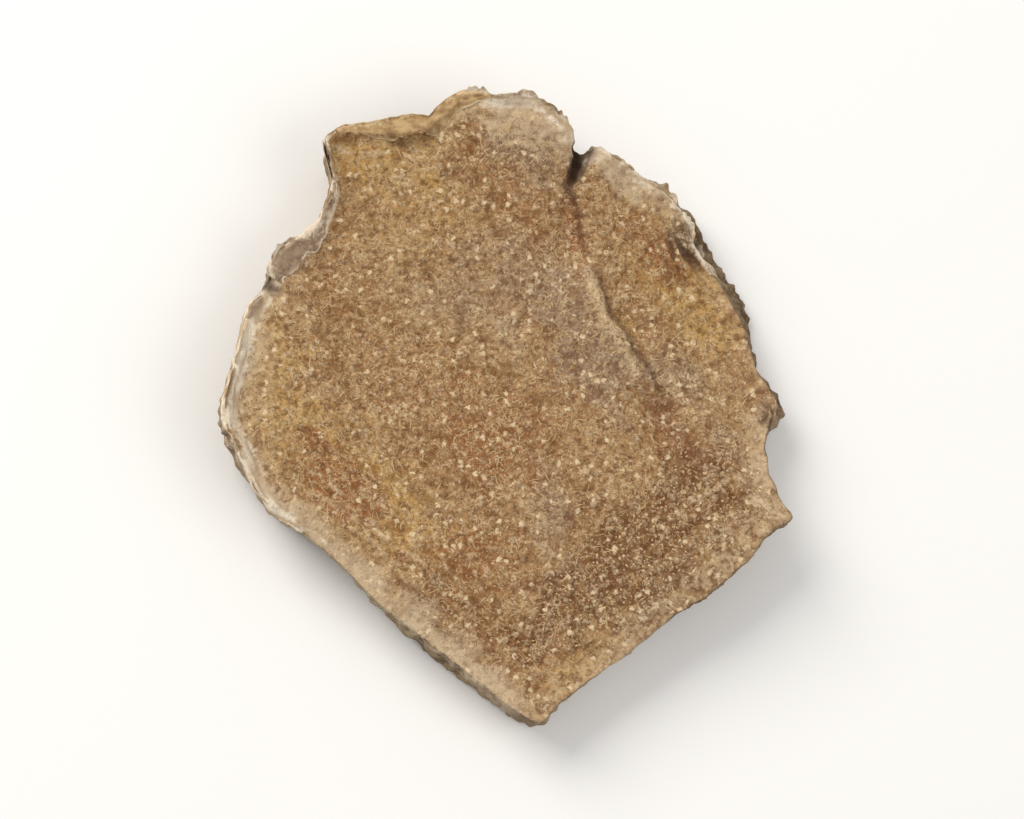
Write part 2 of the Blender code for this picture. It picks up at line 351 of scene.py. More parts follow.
# The tinted patches of the upper cut face.
PATCHES = {
    Tint.PALE: (
        Patch(6.9, 14.6, 3.2, 1.5, -44.0, 0.9), Patch(0.8, 16.9, 3.6, 1.5, -8.0, 0.8),
        Patch(15.0, -2.8, 3.2, 1.0, -85.0, 0.5), Patch(-12.4, -8.2, 4.4, 0.9, -42.0, 0.5),
        Patch(-3.0, 5.4, 6.0, 2.4, -20.0, 0.28), Patch(-7.6, 8.6, 3.4, 2.0, 40.0, 0.22),
        Patch(12.2, -8.6, 3.2, 1.4, 50.0, 0.35), Patch(6.4, -14.2, 4.0, 1.2, 38.0, 0.25),
        Patch(-14.6, 1.6, 4.0, 1.0, 98.0, 0.35), Patch(2.0, -8.4, 3.2, 0.6, -72.0, 0.45),
    ),
    Tint.YELLOW: (
        Patch(12.0, 5.8, 3.8, 2.2, -60.0, 1.0), Patch(6.9, 4.9, 2.6, 0.8, -55.0, 0.7),
        Patch(-14.2, 1.0, 5.6, 2.2, 98.0, 1.0), Patch(-8.5, -6.0, 7.4, 3.8, -42.0, 1.0),
        Patch(-8.2, 14.4, 4.8, 2.0, 12.0, 1.0), Patch(-6.5, 10.0, 5.0, 3.0, 40.0, 0.5),
        Patch(4.2, -15.2, 3.4, 1.2, 35.0, 0.9), Patch(9.2, 9.4, 3.8, 2.6, -45.0, 1.0),
    ),
    Tint.STAIN: (
        Patch(8.9, 0.2, 1.5, 0.8, -45.0, 0.8), Patch(11.2, -2.6, 2.0, 1.2, -40.0, 1.0),
        Patch(1.0, -10.9, 1.4, 0.9, 10.0, 0.8), Patch(6.0, -10.8, 2.4, 1.3, 25.0, 0.6),
    ),
    Tint.RUST: (
        Patch(8.4, 10.2, 3.2, 1.6, -40.0, 1.0), Patch(3.9, 11.0, 3.2, 0.9, -78.0, 0.9),
        Patch(2.0, 10.2, 1.6, 1.2, -20.0, 0.4), Patch(9.8, -1.8, 4.0, 1.4, -50.0, 0.7),
        Patch(-9.8, -5.8, 4.6, 2.2, -45.0, 1.0), Patch(-4.4, -12.0, 4.0, 1.8, -42.0, 0.5),
        Patch(-1.0, -2.6, 5.4, 3.6, -10.0, 0.65), Patch(1.6, -14.4, 3.8, 2.4, 45.0, 0.8),
        Patch(-2.6, -9.4, 3.8, 2.0, 10.0, 0.7),
    ),
    Tint.MAUVE: (
        Patch(4.4, 3.2, 5.0, 2.6, -55.0, 1.0), Patch(9.8, 2.4, 2.6, 1.6, -50.0, 0.8),
        Patch(13.4, -3.0, 3.0, 1.4, -60.0, 0.8), Patch(2.6, -6.2, 5.0, 1.2, -75.0, 0.9),
        Patch(-5.2, -13.0, 3.4, 1.1, -45.0, 0.9), Patch(0.6, 15.4, 3.2, 2.0, -20.0, 0.9),
        Patch(15.8, -0.2, 1.4, 0.9, 90.0, 0.9), Patch(0.5, 7.5, 5.0, 3.4, 10.0, 0.6),
        Patch(-13.2, 10.6, 3.8, 1.1, 55.0, 0.8),
    ),
    Tint.COARSE: (
        Patch(1.4, -13.8, 3.2, 2.2, 50.0, 0.8), Patch(8.4, -8.4, 7.0, 4.6, 35.0, 0.9),
        Patch(4.6, -11.6, 4.0, 2.8, 40.0, 0.9), Patch(-3.6, -12.4, 3.6, 2.0, -40.0, 0.6),
        Patch(11.8, -4.4, 3.0, 2.2, -40.0, 0.7),
    ),
    Tint.OLIVE: (
        Patch(11.0, 10.3, 1.8, 0.8, -52.0, 1.0),
    ),
}

# The line of the crack, the valley it dies out in, and the crease from there to the spur.
DIVIDE = (
    (4.26, 17.15), (3.90, 14.65), (3.55, 13.45), (4.20, 11.35), (4.55, 9.15),
    (5.80, 5.95), (7.60, 2.85), (10.80, -2.15), (13.90, -5.15), (17.20, -6.75),
)

# Pale strands that show along the cut face, each by the points it passes.
VEINS = (
    ((-11.8, -4.5), (-10.1, -5.7)),
    ((-9.2, -6.9), (-7.4, -8.3), (-5.2, -9.7)),
    ((-7.8, 13.4), (-6.2, 13.6), (-4.8, 14.0)),
    ((-10.8, 15.2), (-9.4, 14.6), (-7.8, 14.7)),
    ((-12.4, 5.7), (-12.2, 3.9)),
    ((10.7, -6.5), (11.6, -5.3), (13.0, -4.3)),
    ((13.6, -4.2), (14.3, -4.9), (15.0, -6.1), (16.4, -6.7)),
    ((15.2, -6.1), (15.1, -7.1), (14.7, -7.9)),
)


@dataclass
class RimLine:
    """The crest of the skin round the upper cut face, one point to a degree."""

    radii: np.ndarray
    heights: np.ndarray

    @classmethod
    def read(cls, points: np.ndarray) -> RimLine:
        """Reads the crest from the refined slice.

        Args:
            points: The slice's vertices, in millimetres.

        Returns:
            The crest.
        """
        radius = np.hypot(points[:, 0], points[:, 1])
        angle = bearings(points)
        radii = np.empty(360)
        heights = np.empty(360)
        outer = radius > 12.0
        for degree in range(360):
            near = outer & (np.abs(turned(angle, degree)) < 0.75)
            top = points[near, 2].max()
            crest = near & (points[:, 2] > top - 0.9)
            radii[degree] = radius[crest].max()
            heights[degree] = points[near & (radius > radii[degree] - 1.0), 2].max()
        return cls(radii, heights)

    def point(self, angle: float) -> Vector:
        """The crest at an angle."""
        low = math.floor(angle)
        share = angle - low
        radius, height = (
            (1.0 - share) * line[low % 360] + share * line[(low + 1) % 360]
            for line in (self.radii, self.heights)
        )
        turn = math.radians(angle)
        return Vector((radius * math.cos(turn), radius * math.sin(turn), height))

    def along(self, line: np.ndarray, angles: np.ndarray) -> np.ndarray:
        """The crest's radii or heights at many angles."""
        return np.interp(angles, np.arange(361), np.append(line, line[0]))

    def spot(self, draw: random.Random, margin: float) -> tuple[float, float]:
        """A random place in plan, at least the margin inside the crest."""
        angle = draw.uniform(0.0, 360.0)
        crest = self.point(angle)
        reach = (math.hypot(crest.x, crest.y) - margin) * math.sqrt(draw.random())
        return reach * math.cos(math.radians(angle)), reach * math.sin(math.radians(angle))

    def inset(self, points: np.ndarray) -> np.ndarray:
        """How far in plan each point lies from the crest.

        Args:
            points: An N x 3 array of places.

        Returns:
            N distances, negative outside the crest.
        """
        tree = KDTree(720)
        for i in range(720):
            crest = self.point(i / 2.0)
            tree.insert((crest.x, crest.y, 0.0), i)
        tree.balance()
        gaps = np.array([tree.find((x, y, 0.0))[2] for x, y in points[:, :2]])
        rim = self.along(self.radii, bearings(points))
        return np.where(np.hypot(points[:, 0], points[:, 1]) > rim, -gaps, gaps)


@dataclass
class Places:
    """Where each vertex of the slice lies: on a cut face, on the skin, beside the divide."""

    points: np.ndarray
    normals: np.ndarray
    rim: RimLine
    x: np.ndarray = field(init=False)
    y: np.ndarray = field(init=False)
    z: np.ndarray = field(init=False)
    angle: np.ndarray = field(init=False)
    inset: np.ndarray = field(init=False)
    beyond: np.ndarray = field(init=False)
    along: np.ndarray = field(init=False)
    outward: np.ndarray = field(init=False)
    up: np.ndarray = field(init=False)
    rise: np.ndarray = field(init=False)

    def __post_init__(self) -> None:
        """Works the places out from the points and normals."""
        self.x, self.y, self.z = self.points.T
        self.angle = bearings(self.points)
        self.inset = self.rim.inset(self.points)
        self.beyond, self.along = beside(DIVIDE, self.x, self.y)
        radius = np.maximum(np.hypot(self.x, self.y), 1e-6)
        self.outward = (self.normals[:, 0] * self.x + self.normals[:, 1] * self.y) / radius
        self.up = self.normals[:, 2]
        self.rise = self.z / self.rim.along(self.rim.heights, self.angle)

    def between(self, start: float, end: float, fade: float) -> np.ndarray:
        """1 between two angles, going counterclockwise, fading out over some degrees beyond them."""
        middle = start + 0.5 * ((end - start) % 360.0)
        half = 0.5 * ((end - start) % 360.0)
        return ramp(half + fade, half, np.abs(turned(self.angle, middle)))

    def bands(self, *bands: tuple[float, float, float, float]) -> np.ndarray:
        """The sum of bands between two angles, each a start, an end, a fade and a strength."""
        return sum(strength * self.between(*band) for *band, strength in bands)

    def skin(self) -> np.ndarray:
        """1 on the outside of the skin, 0 on the cut faces."""
        steep = ramp(0.38, 0.62, np.sqrt(np.maximum(1.0 - self.up ** 2, 0.0)))
        return steep * ramp(-0.45, -0.15, self.outward) * ramp(2.6, 1.6, self.inset)

    def lining(self) -> np.ndarray:
        """1 on the inner side of the skin where it stands above the upper face."""
        return ramp(0.30, 0.60, -self.outward) * ramp(2.6, 1.4, self.inset) * (self.z > 2.0)

    def edge(self) -> np.ndarray:
        """1 along the torn upper edge of the skin, a wider band where the skin stands thickest."""
        wide = 0.34 + self.bands(
            (158.0, 206.0, 8.0, 0.42), (74.0, 98.0, 5.0, 0.34), (40.0, 72.0, 6.0, 0.16)
        )
        return hump((self.inset - 0.18) / wide, 1.0) * ramp(-0.1, 0.45, self.up) * (self.z > 2.0)

    def near(self, x: float, y: float, reach: float) -> np.ndarray:
        """1 at a spot in plan, falling to about a third at the reach."""
        return hump(np.hypot(self.x - x, self.y - y), reach)

    def wrinkles(self) -> tuple[np.ndarray, np.ndarray]:
        """The wrinkles of the dried skin: pleats across the slab, and rings round it.

        Returns:
            How high the skin stands, from about -1 to 1, and how deep in a wrinkle it is, 0 to 1.
        """
        pleats, finer, rings = (
            noise_at(self.points / np.array((across, across, down)), 1.0, seed)
            for across, down, seed in ((0.95, 4.5, 37.0), (0.45, 1.6, 39.0), (3.6, 0.55, 31.0))
        )
        height = 0.9 - 3.0 * np.abs(pleats) + 0.6 * finer + 0.7 * (0.5 - 2.4 * np.abs(rings))
        return np.clip(height, -1.2, 1.2), ramp(0.25, -0.75, height)


@dataclass
class Markings:
    """The slice's markings: shares from 0 to 1 at every vertex, by the names the finish reads."""

    places: Places
    fine_grain: float = 0.40
    coarse_grain: float = 0.48
    stroke_sizes: tuple[float, ...] = (0.95, 0.75, 0.62)
    ring_inset: float = 2.4
    wander: np.ndarray = field(init=False)
    upper: np.ndarray = field(init=False)
    rim: np.ndarray = field(init=False)
    cortex: np.ndarray = field(init=False)
    shares: dict[str, np.ndarray] = field(init=False)

    def __post_init__(self) -> None:
        """Works the markings out."""
        places = self.places
        self.wander = noise_at(places.points, 1.8, 3.1) + 0.6 * noise_at(places.points, 0.7, 8.4)
        self.upper = ramp(-0.3, 0.3, places.up)
        self.rim = places.between(157.0, 206.0, 6.0)
        self.cortex = ramp(3.2, 1.2, places.inset + 0.7 * self.wander)
        inside = places.lining()
        bay = places.between(131.0, 157.0, 5.0)
        self.shares = {
            "skin": places.skin(), "inside": inside,
            "lining": inside * clamped(0.25 + bay + 0.55 * self.rim),
        }
        for step in (self.tint, self.weather, self.pack, self.streak, self.fray, self.crack):
            step()

    def face(self) -> np.ndarray:
        """1 on the cut faces."""
        return (1.0 - self.shares["skin"]) * (1.0 - self.shares["inside"])

    def tint(self) -> None:
        """Tints the upper face in patches, with a pale margin and a stain along the crack."""
        places, wander, shares = self.places, self.wander, self.shares
        for tint, patches in PATCHES.items():
            tinted = sum(patch.over(places.x, places.y, wander) for patch in patches)
            shares[tint.value] = self.upper * clamped(tinted)
        shares["pale"] = clamped(shares["pale"] + self.pale_margin())
        line = ramp(9.4, 7.5, places.along) * hump(places.beyond - 0.05 + 0.40 * wander, 0.28)
        line *= clamped(0.85 + 0.6 * wander)
        furrow = hump(places.along - 18.5, 4.5) * hump(places.beyond + 0.2 + 0.4 * wander, 0.45)
        patchy = shares["stain"] * clamped(0.75 + 0.9 * wander)
        stains = patchy, line * self.upper, 0.8 * furrow * self.upper
        shares["stain"] = clamped(np.max(stains, axis=0))

    def pale_margin(self) -> np.ndarray:
        """How far the flesh has bleached along its margin, in bands that wander."""
        places, bleached = self.places, 0.0
        for start, end, wide, strength in (
            (206.0, 268.0, 2.3, 1.00), (276.0, 338.0, 2.2, 0.30), (338.0, 30.0, 1.6, 0.30),
            (46.0, 72.0, 2.2, 0.60), (76.0, 100.0, 2.2, 0.60), (150.0, 206.0, 2.5, 0.60),
        ):
            band = ramp(wide, 0.25 * wide, places.inset + 0.8 * self.wander)
            bleached += strength * band * places.between(start, end, 8.0)
        return bleached * ramp(0.0, 0.5, places.up) * (places.z > 1.5)

    def weather(self) -> None:
        """Marks where the skin's dark outer layer stayed on, where it bleached, and its wrinkles, for
        painted shade.
        """
        places = self.places
        dark = places.bands(
            (8.0, 52.0, 8.0, 1.0), (309.0, 321.0, 6.0, 0.8), (274.0, 285.0, 6.0, 0.8),
            (355.0, 4.0, 4.0, 0.5),
        ) + 0.8 * ramp(0.05, 0.45, noise_at(places.points, 4.2, 46.0))
        self.shares["dark_skin"] = clamped(dark * np.clip(0.75 + 0.9 * self.wander, 0.15, 1.0))
        peeled = 0.25 + places.bands(
            (128.0, 206.0, 12.0, 1.0), (210.0, 300.0, 12.0, 0.9), (70.0, 99.0, 6.0, 0.7)
        )
        high = ramp(0.25, 0.95, places.rise + 0.3 * self.wander)
        self.shares["bleached"] = high * clamped(peeled)
        # The wrinkles' grooves, which the finish paints with shade.
        self.shares["wrinkle"] = self.shares["skin"] * places.wrinkles()[1]

    def pack(self) -> None:
        """Packs the cut flesh with grains, large ones where it is coarse and few near the skin."""
        points, coarse = self.places.points, self.shares["coarse"]
        crowd = noise_at(points, 4.5, 6.0)
        small, small_lot = grains_at(points, self.fine_grain, 2.0)
        large, large_lot = grains_at(points, self.coarse_grain, 7.0)
        fine = 0.7 * ramp(0.10, 0.60, small) * (small_lot > 0.70 + 0.3 * crowd)
        big = ramp(0.12, 0.58, large) * (large_lot > 0.94 - 0.30 * coarse + 0.2 * crowd)
        # The hollows between grains: the relief sinks them and the finish paints them darker, partly
        # painted shade.
        low = np.maximum(0.6 * ramp(0.35, 0.05, small), coarse * ramp(0.40, 0.06, large))
        self.shares["grain"] = self.face() * (1.0 - 0.75 * self.cortex) * np.maximum(fine, big)
        self.shares["hollow"] = self.face() * (1.0 - 0.6 * self.cortex) * low

    def streak(self) -> None:
        """Draws the cut fibres, the ring line, the ridge beside the crease with a painted highlight on
        its crest, and the pale strands.
        """
        places, points, wander = self.places, self.places.points, self.wander
        strokes = np.zeros(len(points))
        for number, size in enumerate(self.stroke_sizes):
            line = noise_at(points, size, 14.0 + 5.0 * number)
            line = np.abs(line + 0.3 * noise_at(points, 0.4, 1.0 + number))
            broken = ramp(0.0, 0.28, noise_at(points, 1.1, 22.0 + 3.0 * number))
            strokes = np.maximum(strokes, ramp(0.12, 0.02, line) * broken)
        strokes *= (1.0 - 0.55 * self.shares["coarse"]) * (1.0 - 0.5 * self.cortex)
        bands = np.column_stack((places.angle / 7.0, places.inset / 0.42, places.z / 3.0))
        bands = ramp(0.08, 0.38, noise_at(bands, 1.0, 83.0)) * ramp(0.3, 0.9, places.inset)
        strokes = np.maximum(strokes, 0.75 * bands * ramp(5.5, 3.0, places.inset + 0.8 * wander))
        self.shares["thread"] = self.face() * strokes

        ring = hump(places.inset - self.ring_inset - 0.35 * noise_at(points, 4.0, 5.0), 0.13)
        seen = np.maximum(
            places.between(208.0, 262.0, 8.0), 0.6 * places.between(150.0, 190.0, 10.0)
        )
        ring *= np.maximum(seen, 0.2) * ramp(-0.35, 0.1, wander)
        # Painted highlight: the ridge beside the crease is painted pale along its crest.
        ridge = ramp(8.2, 9.2, places.along) * ramp(17.0, 14.5, places.along)
        ridge *= hump(places.beyond + 0.35 + 0.30 * wander, 0.42)
        bent = (
            place + 0.3 * noise_at(points, 0.8, seed)
            for place, seed in ((places.x, 51.0), (places.y, 53.0))
        )
        x, y = bent
        gaps = ramp(-0.35, 0.05, noise_at(points, 1.1, 55.0))
        veins = [gaps * hump(beside(path, x, y)[0], 0.12) for path in VEINS]
        lines = np.max((0.6 * ring, 0.95 * ridge, *veins), axis=0)
        self.shares["vein_and_ridge_highlight"] = self.face() * self.upper * lines

    def fray(self) -> None:
        """Marks the torn upper edge of the skin, with painted light on the left rim's inner wall, and the
        streaks of its layers.
        """
        places = self.places
        strong = clamped(0.12 + places.bands(
            (132.0, 215.0, 8.0, 1.0), (74.0, 98.0, 5.0, 0.8), (36.0, 72.0, 8.0, 0.55)
        ))
        # On the left rim the inner wall takes the edge's cream: the skin's own pale colour, and painted
        # light on a wall that stands in shade.
        edge = np.maximum(places.edge() * strong, 0.8 * self.shares["inside"] * self.rim)
        loose = self.rim + places.between(72.0, 98.0, 5.0)
        self.shares["edge"] = edge * ramp(-0.45, 0.15, self.wander + 0.5 * loose)
        lines = np.column_stack((places.angle / 9.0, places.inset / 0.30, places.z / 0.34))
        self.shares["streak"] = ramp(-0.30, 0.22, noise_at(lines, 1.0, 71.0))

    def crack(self) -> None:
        """Marks the crack with its mouth, groove and slit, the tear, the bud scar and two gaps, for
        painted shade.
        """
        places, wander, upper = self.places, self.wander, self.upper
        crack = ramp(4.6, 3.0, places.along) * hump(places.beyond, 0.34) * (places.z > 1.0)
        mouth = hump(places.along - 1.6, 0.9) * hump(places.beyond - 0.45, 0.5)
        groove = ramp(8.5, 9.5, places.along) * ramp(20.0, 16.0, places.along)
        groove *= hump(places.beyond - 0.40 + 0.25 * wander, 0.22)
        slit = hump(places.along - 3.0, 2.6) * hump(places.beyond + 0.1 * wander, 0.20)
        crest = ramp(0.80, 0.92, places.rise)
        tear = hump(turned(places.angle, 156.0), 1.4) * ramp(1.6, 0.6, places.inset)
        hole = places.near(-14.6, 6.9, 0.5)
        scar = np.abs(noise_at(places.points * np.array((1.0, 0.45, 0.6)), 0.8, 61.0))
        scar = ramp(0.16, 0.04, scar) * places.near(16.4, -0.4, 1.3)
        gap = (1.0 - self.shares["streak"]) * places.near(11.1, 10.2, 1.6)
        self.shares["crevice_shade"] = clamped(np.max((
            crack, 0.8 * mouth * upper, 0.55 * groove * upper, 0.7 * slit * upper,
            0.8 * tear * crest, hole * crest, 0.8 * scar, 0.9 * gap,
        ), axis=0))


@dataclass
class Shader:
    """A new material, with short ways to add nodes. Its patterns read Object coordinates."""

    name: str
    material: bpy.types.Material = field(init=False)
    tree: bpy.types.NodeTree = field(init=False)
    where: Socket = field(init=False)

    def __post_init__(self) -> None:
        """Makes the material."""
        self.material = bpy.data.materials.new(self.name)
        self.material.use_nodes = True
        self.tree = self.material.node_tree
        self.where = add_node(self.tree, "ShaderNodeTexCoord").outputs["Object"]

    def noise(self, size: float, detail: float, output: str = "Fac", **inputs: float) -> Socket:
        """Noise whose lumps measure this many millimetres."""
        return add_node(self.tree, "ShaderNodeTexNoise", {
            "Vector": self.where, "Scale": per_metre(size), "Detail": detail, **inputs,
        }).outputs[output]

    def mark(self, name: str) -> Socket:
        """The vertex attribute of that name."""
        return add_node(
            self.tree, "ShaderNodeAttribute", attribute_name=name, attribute_type="GEOMETRY"
        ).outputs["Fac"]

    def share(self, source: Socket, low: float, high: float, kind: str = "SMOOTHSTEP") -> Socket:
        """The source as a share from 0 at low to 1 at high."""
        return add_node(self.tree, "ShaderNodeMapRange", {
            "Value": source, "From Min": low, "From Max": high,
        }, interpolation_type=kind).outputs["Result"]

    def maths(self, operation: str, *values: Socket | float) -> Socket:
        """The result of an operation on sockets and numbers."""
        links = dict(enumerate(values))
        return add_node(self.tree, "ShaderNodeMath", links, operation=operation).outputs["Value"]

    def times(self, *factors: Socket | float) -> Socket:
        """The product of the factors."""
        product = factors[0]
        for factor in factors[1:]:
            product = self.maths("MULTIPLY", product, factor)
        return product

    def ragged(
        self, name: str, by: Socket, border: float, amount: float = 0.6, soft: float = 0.16
    ) -> Socket:
        """A vertex attribute faded in about a level, along a border that the noise roughens."""
        moved = self.maths("MULTIPLY_ADD", by, amount, self.mark(name))
        return self.share(moved, border + 0.5 * amount - soft, border + 0.5 * amount + soft)

    def layered(
        self, below: Socket | str, *layers: tuple[Socket | str, Socket | float]
    ) -> Socket:
        """Lays colours over the one below, each as strongly as its factor says.

        Args:
            below: The lowest colour, a socket or #rrggbb.
            *layers: Each layer's colour and its factor.

        Returns:
            The colour seen.
        """
        for colour, factor in layers:
            lower, upper = (linear(c) if isinstance(c, str) else c for c in (below, colour))
            below = add_node(self.tree, "ShaderNodeMix", {
                0: factor, 6: lower, 7: upper,
            }, data_type="RGBA").outputs[2]
        return below

    def bump(
        self, height: Socket, strength: float, distance: float, below: Socket | None = None
    ) -> Socket:
        """A normal tilted by a height, its distance in millimetres, over the normal below it."""
        links = {"Height": height, "Strength": strength, "Distance": distance * MM}
        links |= {"Normal": below} if below is not None else {}
        return add_node(self.tree, "ShaderNodeBump", links).outputs["Normal"]

    def finished(self, **inputs: Socket | float) -> bpy.types.Material:
        """The material, with its surface's inputs linked or set. A name's _ stands for a space."""
        named = {name.replace("_", " "): value for name, value in inputs.items()}
        set_inputs(self.tree.nodes["Principled BSDF"], named)
        return self.material


@dataclass(frozen=True)
class DriedRhizome:
    """Air-dried rhizome, knife-cut: matt starchy flesh in pale grains on tan, under papery cork."""

    # The tissue's dark ground between the grains, also painted shade in the hollows.
    ground_and_shade: str = "#6f4825"
    # Painted shade in the crumbs' lows where the flesh is coarse.
    pit_shade: str = "#643d18"
    coarse: str = "#74491f"
    flesh: str = "#9f764a"
    light_flesh: str = "#ad875c"
    grain: str = "#e3cba4"
    thread: str = "#cbac7e"
    yellow: str = "#bd9350"
    rust: str = "#93582c"
    mauve: str = "#957c67"
    pale: str = "#cfb898"
    stain: str = "#6b3b1e"
    # Painted shade, near black down in the cracks and holes.
    dark: str = "#3a2110"
    cork: str = "#98805f"
    cork_pale: str = "#c3b094"
    cork_olive: str = "#604c30"
    # Painted shade in the cork's wrinkles and between its crumbs.
    cork_fold_shade: str = "#5f4930"
    lining: str = "#b59b7c"
    lining_pale: str = "#d8c3a5"
    torn_edge: str = "#f0e2cb"
    torn_shade: str = "#c4aa8a"

    def material(self) -> bpy.types.Material:
        """Makes the finish.

        Returns:
            The material, which reads the slice's vertex attributes.
        """
        shader = Shader("air_dried_rhizome")
        mark, share, times = shader.mark, shader.share, shader.times

        # Slow drifts of colour 5 mm across, blotches of 0.9 mm on the cork, crumbs of packed starch
        # cells 0.4 mm across, and specks of 0.18 mm.
        drift, blotch, crumb, speck = (
            shader.noise(size, 3.0, Roughness=rough)
            for size, rough in ((5.0, 0.55), (0.9, 0.65), (0.40, 0.62), (0.18, 0.60))
        )
        # Places shifted by up to 0.2 mm, so that flecks are not round.
        bent = add_node(shader.tree, "ShaderNodeVectorMath", {
            0: shader.noise(0.28, 1.0, "Color"), 1: (0.40 * MM,) * 3, 2: shader.where,
        }, operation="MULTIPLY_ADD").outputs["Vector"]
        small, small_tone = self.flecks(shader, bent, 0.30, 0.50)
        large, large_tone = self.flecks(shader, bent, 0.46, 0.34)
        fibres = times(self.strands(shader, 0.62, 0.050), share(speck, 0.38, 0.52))
        hairs = times(self.strands(shader, 0.36, 0.045), share(blotch, 0.42, 0.56))

        # Flesh: tan, tinted in patches, then painted shade between the crumbs and painted highlights
        # on them, following the crumbs' bump.
        coarse = mark(Tint.COARSE.value)
        bare = share(mark(Tint.PALE.value), 1.7, 0.2)
        clean = share(mark(Tint.STAIN.value), 1.5, 0.2)
        plain = share(coarse, 1.6, 0.0)
        tints = (
            (Tint.YELLOW, self.yellow, 0.95), (Tint.MAUVE, self.mauve, 0.95),
            (Tint.RUST, self.rust, 0.95), (Tint.COARSE, self.coarse, 0.90),
            (Tint.PALE, self.pale, 0.90), (Tint.STAIN, self.stain, 0.85),
            (Tint.OLIVE, self.cork_olive, 0.90),
        )
        flesh = shader.layered(
            self.flesh,
            (self.light_flesh, share(drift, 0.46, 0.62)),
            (self.rust, times(share(drift, 0.50, 0.34), 0.40)),
            *((colour, times(mark(tint.value), strength)) for tint, colour, strength in tints),
            (self.ground_and_shade, times(share(blotch, 0.54, 0.36), bare, 0.34)),
            # Painted shade: the dark ground in the lows of the crumb bump and in the sunk hollows between
            # grains, over the tissue's own dark ground.
            (self.ground_and_shade, times(share(crumb, 0.56, 0.36), bare, 0.78)),
            (self.ground_and_shade, times(mark("hollow"), share(speck, 0.62, 0.38), bare, 0.75)),
            (self.pit_shade, times(share(crumb, 0.56, 0.42), coarse, bare, 0.60)),
            # Painted highlight: pale on the highs of the crumb bump.
            (self.thread, times(share(crumb, 0.54, 0.72), share(speck, 0.36, 0.56), 0.55)),
            (self.thread, times(mark("thread"), share(speck, 0.36, 0.56), clean, 0.42)),
            (self.thread, times(hairs, clean, plain, 0.50)),
            (self.thread, times(small, share(small_tone, -0.2, 0.9), clean, plain, 0.75)),
            (self.grain, times(fibres, share(blotch, 0.36, 0.58), clean, 0.60)),
            (self.grain, times(mark("grain"), share(speck, 0.34, 0.58), clean, 0.42)),
            (self.grain, times(large, share(large_tone, -0.2, 0.7), clean, 0.95)),
            # Pale strands and ring line, and the painted highlight on the ridge by the crease.
            (self.grain, times(mark("vein_and_ridge_highlight"), share(speck, 0.30, 0.52), 0.62)),
        )
        # Cork: greyish tan, cream where its outer layers peeled, olive-brown where they stayed on,
        # with painted shade down in its wrinkles and between its crumbs, and painted highlights on them.
        cork = shader.layered(
            self.cork,
            (self.cork_pale, times(mark("bleached"), share(blotch, 0.30, 0.62))),
            (self.cork_olive, times(mark("dark_skin"), share(blotch, 0.32, 0.52))),
            (self.mauve, times(share(drift, 0.44, 0.58), 0.35)),
            (self.cork_fold_shade, times(mark("wrinkle"), share(speck, 0.66, 0.40), 0.85)),
            (self.cork_fold_shade, times(share(crumb, 0.52, 0.36), 0.40)),
            # Painted highlight: paler on the crumbs' highs.
            (self.cork_pale, times(share(crumb, 0.54, 0.70), share(speck, 0.40, 0.56), 0.45)),
        )
        # Painted highlight on the skin's inner side, paler on the crumbs' highs; painted shade on the
        # torn edge, in their lows.
        inner = shader.layered(
            self.lining,
            (self.lining_pale, share(crumb, 0.38, 0.54)),
            (self.torn_edge, times(mark("streak"), share(speck, 0.40, 0.58), 0.60)),
        )
        torn = shader.layered(
            self.torn_shade,
            (self.torn_edge, mark("streak")),
            (self.torn_shade, times(share(crumb, 0.50, 0.36), 0.55)),
        )
        colour = shader.layered(
            flesh,
            (cork, shader.ragged("skin", crumb, 0.5)),
            (inner, times(shader.ragged("lining", crumb, 0.4), 0.9)),
            (torn, times(shader.ragged("edge", crumb, 0.36, 0.8, 0.22), 0.88)),
            # Painted shade: near black down in the cracks, slits, holes and gaps that the relief sinks.
            (self.dark, mark("crevice_shade")),
        )
        # Horny starch makes the grains a little glossier than the powdery ground.
        rough = add_node(shader.tree, "ShaderNodeMapRange", {
            "Value": mark("grain"), "To Min": 0.88, "To Max": 0.62,
        }).outputs["Result"]
        # Powdery micro-relief, too fine for the mesh: 0.4 mm crumbs, flecks, then 0.11 mm crumbs.
        standing = shader.maths("MAXIMUM", shader.maths("MAXIMUM", small, fibres), large)
        normal = shader.bump(crumb, 0.9, 0.10)
        normal = shader.bump(standing, 0.6, 0.035, normal)
        normal = shader.bump(shader.noise(0.11, 2.0), 0.7, 0.05, normal)
        return shader.finished(
            Base_Color=colour, Roughness=rough, Normal=normal, Metallic=0.0, IOR=1.45
        )

    def flecks(self, shader: Shader, bent: Socket, size: float, kept: float) -> tuple[Socket, Socket]:
        """Starch bodies so far apart, a share of them kept: 1 on one, and each one's own tone."""
        reach = 0.46
        cells = add_node(shader.tree, "ShaderNodeTexVoronoi", {"Vector": bent, "Scale": per_metre(size)})
        own = add_node(shader.tree, "ShaderNodeSeparateColor", {0: cells.outputs["Color"]}).outputs
        chosen = shader.share(own["Red"], 1.0 - kept, 1.0 - kept + 0.03)
        body = shader.share(cells.outputs["Distance"], reach, 0.4 * reach)
        return shader.times(body, chosen), own["Green"]

    def strands(self, shader: Shader, size: float, half_width: float) -> Socket:
        """1 on wandering lines about so far apart: cell walls and fibres cut across."""
        tangle = shader.maths("SUBTRACT", shader.noise(size, 1.0, Distortion=1.4), 0.5)
        return shader.share(shader.maths("ABSOLUTE", tangle), half_width, 0.25 * half_width)


